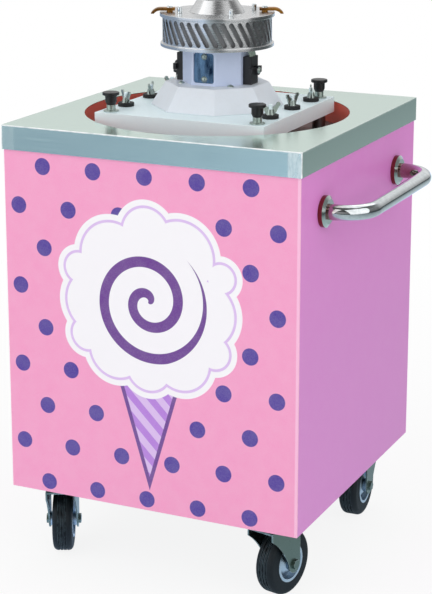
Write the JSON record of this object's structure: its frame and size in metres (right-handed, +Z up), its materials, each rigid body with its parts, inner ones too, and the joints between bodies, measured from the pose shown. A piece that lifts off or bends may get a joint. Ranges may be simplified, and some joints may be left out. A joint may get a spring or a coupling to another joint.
{
  "type": "cotton candy cart",
  "caption": "Square panelled cabinet on swivel casters with a push handle, a stainless top with a round well, and a slotted floss spinner on a drive plate.",
  "frame": {"origin": "on the ground, under the middle of the outline that includes the handle", "axes": "+X towards the push handle, +Y towards the back with the door, +Z up"},
  "size_m": [0.6866, 0.6, 1.08],
  "materials": {
    "print_pink": "gloss",
    "print_lilac": "gloss",
    "door_lilac": "satin",
    "stainless": "brushed",
    "frame_steel": "satin",
    "plate_steel": "satin",
    "well_red": "satin",
    "chrome": "polished",
    "zinc": "satin",
    "rubber": "matte",
    "tyre": "matte",
    "wheel_zinc": "satin",
    "black_plastic": "matte",
    "red_plastic": "gloss",
    "powder_white": "powder coat",
    "column_grey": "powder coat",
    "window_zinc": "dull",
    "carbon": "matte",
    "lead_sleeve": "matte",
    "motor_grey": "satin",
    "bearing_steel": "polished",
    "slip_brass": "satin",
    "drum_alloy": "turned",
    "heater_mesh": "woven",
    "wing_brown": "satin",
    "catch_brown": "matte"
  },
  "bodies": {
    "cart": {"floor_panel": "plate_steel", "frame": "frame_steel", "front_panel": "print_pink", "left_panel": "print_lilac", "right_panel": "print_lilac", "rear_fascia": "stainless", "hinge_fixed_leaves": "zinc", "door_catch": "catch_brown", "steel_top": "stainless", "well_ring": "well_red", "well_deck": "plate_steel", "handle_tube": "chrome", "handle_flanges": "chrome", "caster_plates": "zinc", "caster_bolts": "zinc", "switch_frame": "black_plastic", "inlet_socket": "black_plastic", "base_plate": "powder_white", "plunger_bodies": "zinc", "buffer_washers": "rubber", "wing_nuts": "zinc", "drive_housing": "powder_white", "brush_column": "column_grey", "window_plate": "window_zinc", "column_screws": "zinc", "brush_blocks": "black_plastic", "carbon_brushes": "carbon", "brush_leads": "lead_sleeve", "motor_body": "motor_grey", "motor_bearings": "bearing_steel"},
    "spinner": {"spindle": "bearing_steel", "slip_rings": "slip_brass", "drum_floor": "drum_alloy", "drum_wall": "drum_alloy", "heater_band": "heater_mesh", "drum_cover": "drum_alloy", "sugar_cone": "drum_alloy", "tie_rods": "chrome", "floss_wings": "wing_brown"},
    "door": {"rear_door": "door_lilac", "hinge_door_leaves": "zinc", "door_pull": "black_plastic"},
    "rocker": {"switch_rocker": "red_plastic"},
    "dial": {"heat_dial": "black_plastic"},
    "fork_fl": {"caster_fork_fl": "zinc"},
    "wheel_fl": {"wheel_rim_fl": "wheel_zinc", "wheel_tyre_fl": "tyre"},
    "knob_fl": {"lock_knob_fl": "black_plastic"},
    "fork_fr": {"caster_fork_fr": "zinc"},
    "wheel_fr": {"wheel_rim_fr": "wheel_zinc", "wheel_tyre_fr": "tyre"},
    "knob_fr": {"lock_knob_fr": "black_plastic"},
    "fork_bl": {"caster_fork_bl": "zinc"},
    "wheel_bl": {"wheel_rim_bl": "wheel_zinc", "wheel_tyre_bl": "tyre"},
    "knob_bl": {"lock_knob_bl": "black_plastic"},
    "fork_br": {"caster_fork_br": "zinc"},
    "wheel_br": {"wheel_rim_br": "wheel_zinc", "wheel_tyre_br": "tyre"},
    "knob_br": {"lock_knob_br": "black_plastic"}
  },
  "joints": [
    {"name": "caster_swivel_fl", "type": "hinge", "parent": "cart", "child": "fork_fl", "pos_m": [-0.26525, -0.24, 0.14], "axis": [0, 0, 1], "continuous": true},
    {"name": "wheel_spin_fl", "type": "hinge", "parent": "fork_fl", "child": "wheel_fl", "pos_m": [-0.28046, -0.20737, 0.0625], "axis": [-0.9063, -0.4226, 0], "continuous": true},
    {"name": "lock_pull_fl", "type": "slide", "parent": "cart", "child": "knob_fl", "axis": [0, 0, 1], "range_m": [0, 0.008], "stiffness_N_per_m": 800, "springref_m": -0.006},
    {"name": "caster_swivel_fr", "type": "hinge", "parent": "cart", "child": "fork_fr", "pos_m": [0.17875, -0.24, 0.14], "axis": [0, 0, 1], "continuous": true},
    {"name": "wheel_spin_fr", "type": "hinge", "parent": "fork_fr", "child": "wheel_fr", "pos_m": [0.18685, -0.20492, 0.0625], "axis": [-0.9744, 0.225, 0], "continuous": true},
    {"name": "lock_pull_fr", "type": "slide", "parent": "cart", "child": "knob_fr", "axis": [0, 0, 1], "range_m": [0, 0.008], "stiffness_N_per_m": 800, "springref_m": -0.006},
    {"name": "caster_swivel_bl", "type": "hinge", "parent": "cart", "child": "fork_bl", "pos_m": [-0.26525, 0.24, 0.14], "axis": [0, 0, 1], "continuous": true},
    {"name": "wheel_spin_bl", "type": "hinge", "parent": "fork_bl", "child": "wheel_bl", "pos_m": [-0.27457, 0.20523, 0.0625], "axis": [0.9659, -0.2588, 0], "continuous": true},
    {"name": "lock_pull_bl", "type": "slide", "parent": "cart", "child": "knob_bl", "axis": [0, 0, 1], "range_m": [0, 0.008], "stiffness_N_per_m": 800, "springref_m": -0.006},
    {"name": "caster_swivel_br", "type": "hinge", "parent": "cart", "child": "fork_br", "pos_m": [0.17875, 0.24, 0.14], "axis": [0, 0, 1], "continuous": true},
    {"name": "wheel_spin_br", "type": "hinge", "parent": "fork_br", "child": "wheel_br", "pos_m": [0.18001, 0.20402, 0.0625], "axis": [0.9994, 0.0349, 0], "continuous": true},
    {"name": "lock_pull_br", "type": "slide", "parent": "cart", "child": "knob_br", "axis": [0, 0, 1], "range_m": [0, 0.008], "stiffness_N_per_m": 800, "springref_m": -0.006},
    {"name": "spinner_spin", "type": "hinge", "parent": "cart", "child": "spinner", "pos_m": [-0.04325, 0, 0.9], "axis": [0, 0, 1], "continuous": true},
    {"name": "door_hinge", "type": "hinge", "parent": "cart", "child": "door", "pos_m": [-0.33025, 0.276, 0.43], "axis": [0, 0, 1], "range_deg": [0, 100]},
    {"name": "switch_rock", "type": "hinge", "parent": "cart", "child": "rocker", "pos_m": [0.10675, 0.269, 0.759], "axis": [-1, 0, 0], "range_deg": [0, 16]},
    {"name": "dial_turn", "type": "hinge", "parent": "cart", "child": "dial", "pos_m": [-0.04325, 0.272, 0.759], "axis": [0, -1, 0], "range_deg": [0, 270]}
  ]
}
